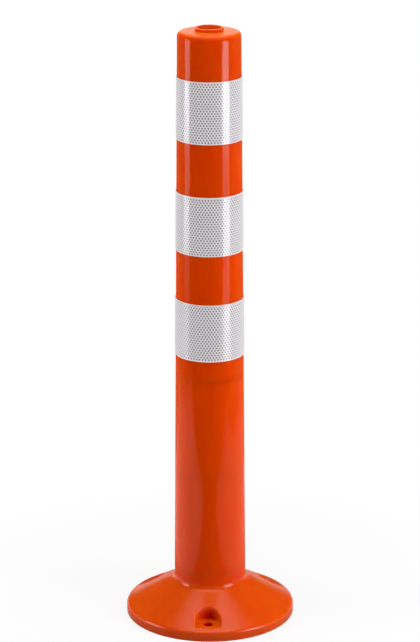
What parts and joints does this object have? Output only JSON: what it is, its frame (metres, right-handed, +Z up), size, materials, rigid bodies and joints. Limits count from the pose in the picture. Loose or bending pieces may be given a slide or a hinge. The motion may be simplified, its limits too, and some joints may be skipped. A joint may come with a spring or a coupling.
{
  "type": "flexible delineator post",
  "caption": "Flexible orange road delineator: tapered hollow tube on a conical bolt-down base, wrapped in white reflective bands; its root bends over and springs back.",
  "frame": {"origin": "centre of the base on the ground plane", "axes": "+Z up along the post, -Y towards the front bolt pocket, +X to the right seen from the front"},
  "size_m": [0.2, 0.2, 0.7098],
  "materials": {
    "moulding": "glossy moulded polyurethane",
    "film": "reflective honeycomb film"
  },
  "bodies": {
    "base": {"base_flange": "moulding"},
    "root": {"flex_root": "moulding"},
    "post": {"post_tube": "moulding", "upper_band": "film", "middle_band": "film", "lower_band": "film"}
  },
  "joints": [
    {"name": "lean_sideways", "type": "hinge", "parent": "base", "child": "root", "pos_m": [0, 0, 0.12], "axis": [0, 1, 0], "range_deg": [-85, 85], "stiffness_Nm_per_rad": 60, "deforming": ["flex_root"]},
    {"name": "lean_front_back", "type": "hinge", "parent": "root", "child": "post", "pos_m": [0, 0, 0.24], "axis": [1, 0, 0], "range_deg": [-85, 85], "stiffness_Nm_per_rad": 60, "deforming": ["flex_root"]}
  ]
}
